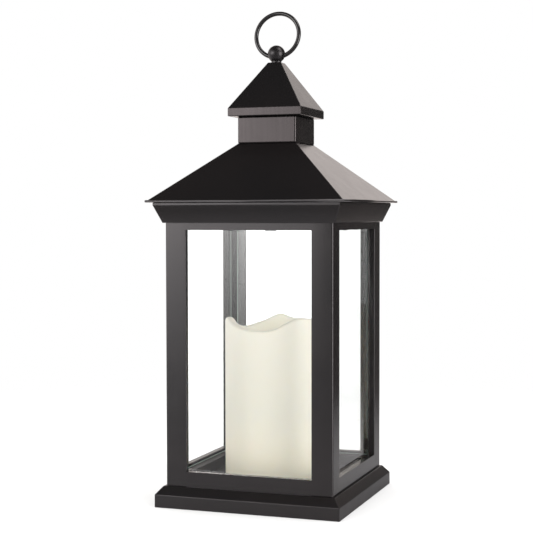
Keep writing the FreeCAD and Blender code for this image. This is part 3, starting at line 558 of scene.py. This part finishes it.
def eased_sheet(node, radius):
    """Folded sheet with rounded edges, from a merged copy of its node."""
    source = frame["nodes"][node]
    piece = source.copy()
    piece.data = source.data.copy()
    piece.parent = None
    piece.name = f"{node}_sheet"
    # The copy is a piece of its own, so it drops the node's marks
    for key in list(piece.keys()):
        del piece[key]
    bpy.context.scene.collection.objects.link(piece)
    take(piece)
    bpy.ops.object.mode_set(mode="EDIT")
    bpy.ops.mesh.select_all(action="SELECT")
    bpy.ops.mesh.customdata_custom_splitnormals_clear()
    bpy.ops.mesh.remove_doubles(threshold=MERGE)
    bpy.ops.mesh.dissolve_limited(angle_limit=math.radians(0.5))
    if is_jamb(node):
        for level in (WINDOW_SILL, WINDOW_HEAD):
            bpy.ops.mesh.select_all(action="SELECT")
            bpy.ops.mesh.bisect(plane_co=(0, 0, level), plane_no=(0, 0, 1))
    bpy.ops.object.mode_set(mode="OBJECT")
    mark_folds(piece.data)
    bevel = piece.modifiers.new("fold", "BEVEL")
    bevel.limit_method = "WEIGHT"
    bevel.width = radius
    bevel.segments = 3
    bevel.use_clamp_overlap = False
    bevel.harden_normals = True
    bpy.ops.object.shade_smooth_by_angle(angle=math.radians(35))
    bpy.ops.object.modifier_apply(modifier=bevel.name)
    return piece


def lip_arc(centre, height, lip, angles):
    """Points of a rounded lip in a turned profile, at angles in degrees."""
    turns = [math.radians(angle) for angle in angles]
    return [(centre + lip * math.cos(turn), height + lip * math.sin(turn)) for turn in turns]


def lathe(name, profile, steps):
    """Turns a closed profile of radius and height into a solid, as on a wheel."""
    deselect()
    bpy.ops.mesh.primitive_plane_add(size=1 * MM)
    piece = bpy.context.object
    piece.name = name
    bpy.ops.object.mode_set(mode="EDIT")
    bpy.ops.mesh.select_all(action="SELECT")
    bpy.ops.mesh.merge(type="CENTER")
    path = [Vector((radius, 0, height)) for radius, height in profile]
    bpy.ops.transform.translate(value=path[0])
    for start, end in zip(path, path[1:] + path[:1]):
        bpy.ops.mesh.extrude_region_move(TRANSFORM_OT_translate={"value": end - start})
    bpy.ops.mesh.select_all(action="SELECT")
    bpy.ops.mesh.remove_doubles(threshold=MERGE)
    bpy.ops.mesh.select_all(action="SELECT")
    bpy.ops.mesh.spin(steps=steps, angle=2 * math.pi, center=(0, 0, 0), axis=(0, 0, 1))
    bpy.ops.mesh.select_all(action="SELECT")
    bpy.ops.mesh.remove_doubles(threshold=MERGE)
    bpy.ops.mesh.normals_make_consistent(inside=False)
    bpy.ops.object.mode_set(mode="OBJECT")
    return piece


def rim_point(index):
    """A point of the wax rim, counted on round the candle in either direction."""
    turns, place = divmod(index, len(RIM_POINTS))
    angle, height = RIM_POINTS[place]
    return angle + 360 * turns, height


def rim_height(angle):
    """Height of the wax rim at an angle in degrees, on a smooth closed curve through its points."""
    first = RIM_POINTS[0][0]
    angle = first + (angle - first) % 360
    index = max(i for i, point in enumerate(RIM_POINTS) if point[0] <= angle)
    before, start, end, after = (rim_point(index + step) for step in (-1, 0, 1, 2))
    width = end[0] - start[0]
    t = (angle - start[0]) / width
    slope_start = (end[1] - before[1]) / (end[0] - before[0]) * width
    slope_end = (after[1] - start[1]) / (after[0] - start[0]) * width
    return ((2 * t**3 - 3 * t**2 + 1) * start[1] + (t**3 - 2 * t**2 + t) * slope_start
            + (3 * t**2 - 2 * t**3) * end[1] + (t**3 - t**2) * slope_end)


def melt_rim(mesh, foot, recess, brim):
    """Raises and lowers the wax above its hollow's floor, most at the rim."""
    depth = brim - recess
    for vertex in mesh.vertices:
        above = vertex.co.z - recess
        if above > 0:
            angle = math.degrees(math.atan2(vertex.co.y, vertex.co.x))
            rise = (foot + rim_height(angle) * MM - recess) / depth
            share = min(1.0, above / depth)
            vertex.co.z = recess + above * (1 + (rise - 1) * share)


class LANTERN_OT_metalwork(bpy.types.Operator):
    """Rounds the folds of the sheet metal and paints it satin black"""

    bl_idname = "lantern.metalwork"
    bl_label = "Metalwork"

    def execute(self, context):
        look = context.scene.lantern
        paint = satin_paint("satin_black", look)
        rolled = satin_paint("satin_black_rolled", look, streaks=0.12, sheen=look.rolled_sheen)
        worn = satin_paint("satin_black_worn", look, dull=0.14)
        matt = satin_paint("matt_black", look, dull=0.24)
        rounding = {"neck": look.neck_round, **dict.fromkeys(("roof", "cap", "plinth"), look.edge_round)}
        for node in SHEET_NODES:
            piece = eased_sheet(node, rounding.get(node, look.fold_round))
            if node in ("neck", "cap"):
                paint_faces(piece, paint, rolled, is_upright)
            elif is_jamb(node):
                paint_faces(piece, paint, matt, in_reveal)
            else:
                set_material(piece, {"floor_plate": matt, "plinth": worn}.get(node, paint))
            stand_for(piece, node)
        dress(CLIP_NODES, paint)
        return {"FINISHED"}


class LANTERN_OT_fittings(bpy.types.Operator):
    """Finishes the ring, finial, knob, screws, nut and washer, hinge pin and catch"""

    bl_idname = "lantern.fittings"
    bl_label = "Fittings"

    def execute(self, context):
        look = context.scene.lantern
        dress(["ring", "door_knob"], gloss_paint("gloss_black", look))
        dress(["finial"], satin_paint("satin_black_turned", look, dull=0.12))
        dress(ZINC_NODES, plated_steel("bright_zinc", (0.62, 0.62, 0.63), 0.32, brush=(90, 90, 900)))
        dress(["catch_magnet"], sintered_ferrite("magnet_ferrite"))
        return {"FINISHED"}


class LANTERN_OT_panes(bpy.types.Operator):
    """Glazes the windows with clear panes that have ground edges"""

    bl_idname = "lantern.panes"
    bl_label = "Panes"

    def execute(self, context):
        look = context.scene.lantern
        glass = clear_glass("clear_glass")
        edge = ground_edge("ground_edge", look)
        for node in PANE_NODES:
            low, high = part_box(node)
            size = high - low
            thin = min(range(3), key=lambda axis: size[axis])
            deselect()
            bpy.ops.mesh.primitive_cube_add(size=1, location=(low + high) / 2)
            piece = context.object
            piece.name = f"{node}_glass"
            piece.scale = size
            bpy.ops.object.transform_apply(location=True, rotation=True, scale=True)
            bpy.ops.object.mode_set(mode="EDIT")
            bpy.ops.mesh.select_all(action="SELECT")
            bpy.ops.mesh.bevel(offset=look.edge_arris, segments=2, affect="EDGES")
            bpy.ops.object.mode_set(mode="OBJECT")
            paint_faces(piece, glass, edge, lambda face: abs(face.normal[thin]) <= 0.99)
            stand_for(piece, node)
        return {"FINISHED"}


class LANTERN_OT_candle(bpy.types.Operator):
    """Turns the wax candle and melts its rim into crests and dips"""

    bl_idname = "lantern.candle"
    bl_label = "Candle"

    def execute(self, context):
        look = context.scene.lantern_candle
        low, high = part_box("wax_shell")
        foot = low.z
        outer = high.x
        inner = outer - look.rim_wall
        brim = foot + look.rim_turned
        recess = brim - look.hollow_depth
        ceiling = recess - look.hollow_floor
        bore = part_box("led_lamp")[1].x + look.works_gap
        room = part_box("battery_housing")[1].x + look.works_gap
        lip = look.rim_lip
        shoulder = brim - lip
        corner = recess + 3 * MM
        draft = 0.05 * MM
        eased_foot = [(room, foot), (outer - 0.8 * MM, foot), (outer - 0.2 * MM, foot + 0.3 * MM),
                      (outer, foot + 1.0 * MM)]
        outer_wall = [(outer, foot + (shoulder - foot) * step / WALL_STEPS)
                      for step in range(1, WALL_STEPS + 1)]
        rim = lip_arc(outer - lip, shoulder, lip, range(15, 91, 15))
        rim += lip_arc(inner + lip, shoulder, lip, range(90, 181, 15))
        hollow_wall = [(inner - draft * step, shoulder - (shoulder - corner) * step / HOLLOW_STEPS)
                       for step in range(1, HOLLOW_STEPS + 1)]
        hollow_base = [(inner - 1.2 * MM, recess + 1.0 * MM), (inner - 3.5 * MM, recess + 0.2 * MM),
                       (0.5 * inner, recess)]
        lamp_bore = [(bore + 1.0 * MM, recess), (bore, recess - 0.8 * MM), (bore, ceiling)]
        works_room = [(room - 1.0 * MM, ceiling), (room, ceiling - 1.0 * MM)]
        profile = eased_foot + outer_wall + rim + hollow_wall + hollow_base + lamp_bore + works_room
        piece = lathe("wax_candle", profile, look.wax_steps)
        melt_rim(piece.data, foot, recess, brim)
        take(piece)
        bpy.ops.object.shade_smooth_by_angle(angle=math.radians(50))
        set_material(piece, ivory_wax("ivory_wax", look))
        stand_for(piece, "wax_shell")
        return {"FINISHED"}


class LANTERN_OT_candle_works(bpy.types.Operator):
    """Finishes the battery housing, lamp, board, cells, contacts and switch inside the candle"""

    bl_idname = "lantern.candle_works"
    bl_label = "Candle works"

    def execute(self, context):
        dress(["battery_housing", "battery_cover", "housing_lid"],
              moulded_plastic("ivory_plastic", (0.66, 0.61, 0.48), 0.45))
        dress(["mode_switch"], moulded_plastic("switch_plastic", (0.022, 0.022, 0.023), 0.40))
        dress(["led_lamp"], amber_lens("amber_lens"))
        dress(["circuit_board"], circuit_laminate("circuit_laminate"))
        dress(["battery_cells"], cell_sleeve("cell_sleeve"))
        dress(["battery_contacts"],
              plated_steel("nickel_plating", (0.72, 0.70, 0.66), 0.20, brush=(900, 90, 90)))
        return {"FINISHED"}


class LANTERN_OT_stage(bpy.types.Operator):
    """Sets the pale floor, the soft studio light, the white surroundings and the camera"""

    bl_idname = "lantern.stage"
    bl_label = "Stage"

    def execute(self, context):
        look = context.scene.lantern_stage
        self.set_floor(look)
        self.set_world(context.scene, look)
        self.set_lamps(context.scene)
        self.set_camera(context.scene, look)
        context.scene.view_settings.view_transform = "Standard"
        return {"FINISHED"}

    def set_floor(self, look):
        """A round pale floor that fades outwards, is faint behind the panes and clear from below."""
        deselect()
        bpy.ops.mesh.primitive_circle_add(vertices=96, radius=look.floor_radius, fill_type="NGON",
                                          location=(0, 0, -look.floor_drop))
        floor = bpy.context.object
        floor.name = "pale_floor"
        bpy.ops.object.transform_apply(location=True, rotation=True, scale=True)
        s = new_shader("pale_floor")
        paper = s.node("ShaderNodeBsdfDiffuse", inputs={
            "Color": s.blend(s.ray("Is Glossy Ray"), look.floor_colour, look.floor_mirrored)})
        clear = s.node("ShaderNodeBsdfTransparent")
        fade = s.span(s.vector("LENGTH", s.where()), 0.10, 0.70, 0.25, 1.0)
        below = s.node("ShaderNodeNewGeometry", out="Backfacing")
        unseen = fade.most(0.85 * s.ray("Is Transmission Ray")).most(below)
        set_material(floor, s.finish(s.node("ShaderNodeMixShader", inputs={0: unseen, 1: paper, 2: clear})))

    def set_world(self, scene, look):
        """White to the camera and through the panes, and to what mirrors it a studio with soft boxes."""
        scene.world = bpy.data.worlds.new("studio")
        s = Shader(scene.world)
        where = s.where("Generated")
        x, y, z = (s.part(where, axis) for axis in "XYZ")
        light = MIRRORED

        # Walls: bright at the back, dark on the right, and dim at the front with a soft box on its left
        dark_side = s.span(x, 0.05, 0.16) * s.span(y, -0.25, 0.15)
        back = light["back"] - (light["back"] - light["dark_side"]) * dark_side
        box_height = s.span(z, -0.16, 0.12) * s.span(z, 0.28, 0.50, 1.0, 0.2)
        front = light["front"] + light["softbox"] * s.span(x, -0.20, -0.41) * box_height
        ahead = s.span(y, -0.30, -0.70)
        walls = s.span(z, 0.45, 0.75, 1.0, light["ceiling"]) * ((1 - ahead) * back + ahead * front)

        # Two bright strips, and a narrow card that only sharp glass shows
        top_strip = s.span(s.vector("DOT_PRODUCT", where, TOP_STRIP), 0.93, 0.97, 0.0, light["top_strip"])
        side_strip = s.span(s.vector("DOT_PRODUCT", where, SIDE_STRIP), 0.92, 0.97, 0.0, light["side_strip"])
        card = s.span(x, -0.215, -0.235) * s.span(x, -0.30, -0.285) * s.span(y, -0.3, -0.5)
        seen = walls + top_strip + side_strip + light["card"] * s.ray("Is Singular Ray") * card

        # A ray through a pane shows plain white, unless something mirrored it on its way
        mirrored = s.ray("Glossy Depth") > 0.5
        through = s.ray("Is Transmission Ray")
        glossy = s.ray("Is Glossy Ray").most(through * mirrored)
        shown = s.ray("Is Camera Ray").most(through * (1 - mirrored))
        studio = s.node("ShaderNodeBackground", inputs={
            "Color": s.blend(glossy * s.span(y, -0.2, 0.3), look.wall_colour, look.back_colour),
            "Strength": glossy * seen + (1 - glossy) * look.fill_light})
        plain = s.node("ShaderNodeBackground", inputs={
            "Color": colour((1, 1, 1)), "Strength": 1 + look.glass_lift * through})
        mixed = s.node("ShaderNodeMixShader", inputs={0: shown, 1: studio, 2: plain})
        s.node("ShaderNodeOutputWorld", inputs={"Surface": mixed})

    def set_lamps(self, scene):
        """Soft lamps aimed at the candle, which light the wax and the floor but aren't mirrored."""
        for name, (place, size, power) in LAMPS.items():
            data = bpy.data.lights.new(name, "AREA")
            data.shape = "DISK"
            data.size = size
            data.energy = power
            lamp = bpy.data.objects.new(name, data)
            scene.collection.objects.link(lamp)
            lamp.location = place
            lamp.rotation_euler = (LAMP_AIM - Vector(place)).to_track_quat("-Z", "Y").to_euler()
            lamp.visible_glossy = False

    def set_camera(self, scene, look):
        """The camera, at the photograph's viewing angle."""
        heading, pitch, roll = (math.radians(angle) for angle in look.camera_turn)
        ahead = Vector((-math.sin(heading) * math.cos(pitch), math.cos(heading) * math.cos(pitch),
                        -math.sin(pitch)))
        right = Vector((math.cos(heading), math.sin(heading), 0))
        up = right.cross(ahead)
        side = right * math.cos(roll) + up * math.sin(roll)
        top = up * math.cos(roll) - right * math.sin(roll)
        turn = Matrix((side, top, -ahead)).transposed().to_4x4()
        data = bpy.data.cameras.new("photo_camera")
        data.lens = look.lens
        data.sensor_width = 36
        data.clip_start = 0.01
        camera = bpy.data.objects.new("photo_camera", data)
        scene.collection.objects.link(camera)
        camera.matrix_world = Matrix.Translation(look.camera_place) @ turn
        scene.camera = camera


class LANTERN_PT_sidebar(bpy.types.Panel):
    """Lists the settings and the steps that dress the lantern"""

    bl_idname = "LANTERN_PT_sidebar"
    bl_label = "Candle Lantern"
    bl_space_type = "VIEW_3D"
    bl_region_type = "UI"
    bl_category = "Lantern"

    def draw(self, context):
        for group, kind in GROUPS.items():
            for name in kind.__annotations__:
                self.layout.prop(getattr(context.scene, group), name)
        for step in STEPS:
            self.layout.operator(step.bl_idname)


GROUPS = {"lantern": LanternSettings, "lantern_candle": CandleSettings, "lantern_stage": StageSettings}
STEPS = [LANTERN_OT_metalwork, LANTERN_OT_fittings, LANTERN_OT_panes, LANTERN_OT_candle,
         LANTERN_OT_candle_works, LANTERN_OT_stage]
CLASSES = [*GROUPS.values(), *STEPS, LANTERN_PT_sidebar]


def register():
    """Adds the classes and their settings to Blender."""
    for kind in CLASSES:
        bpy.utils.register_class(kind)
    for group, kind in GROUPS.items():
        setattr(bpy.types.Scene, group, PointerProperty(type=kind))


def unregister():
    """Takes the settings and the classes out again."""
    for group in GROUPS:
        delattr(bpy.types.Scene, group)
    for kind in reversed(CLASSES):
        bpy.utils.unregister_class(kind)


def main():
    """Dresses the lantern step by step."""
    register()
    bpy.ops.lantern.metalwork()
    bpy.ops.lantern.fittings()
    bpy.ops.lantern.panes()
    bpy.ops.lantern.candle()
    bpy.ops.lantern.candle_works()
    bpy.ops.lantern.stage()
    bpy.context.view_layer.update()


if __name__ == "__main__":
    main()
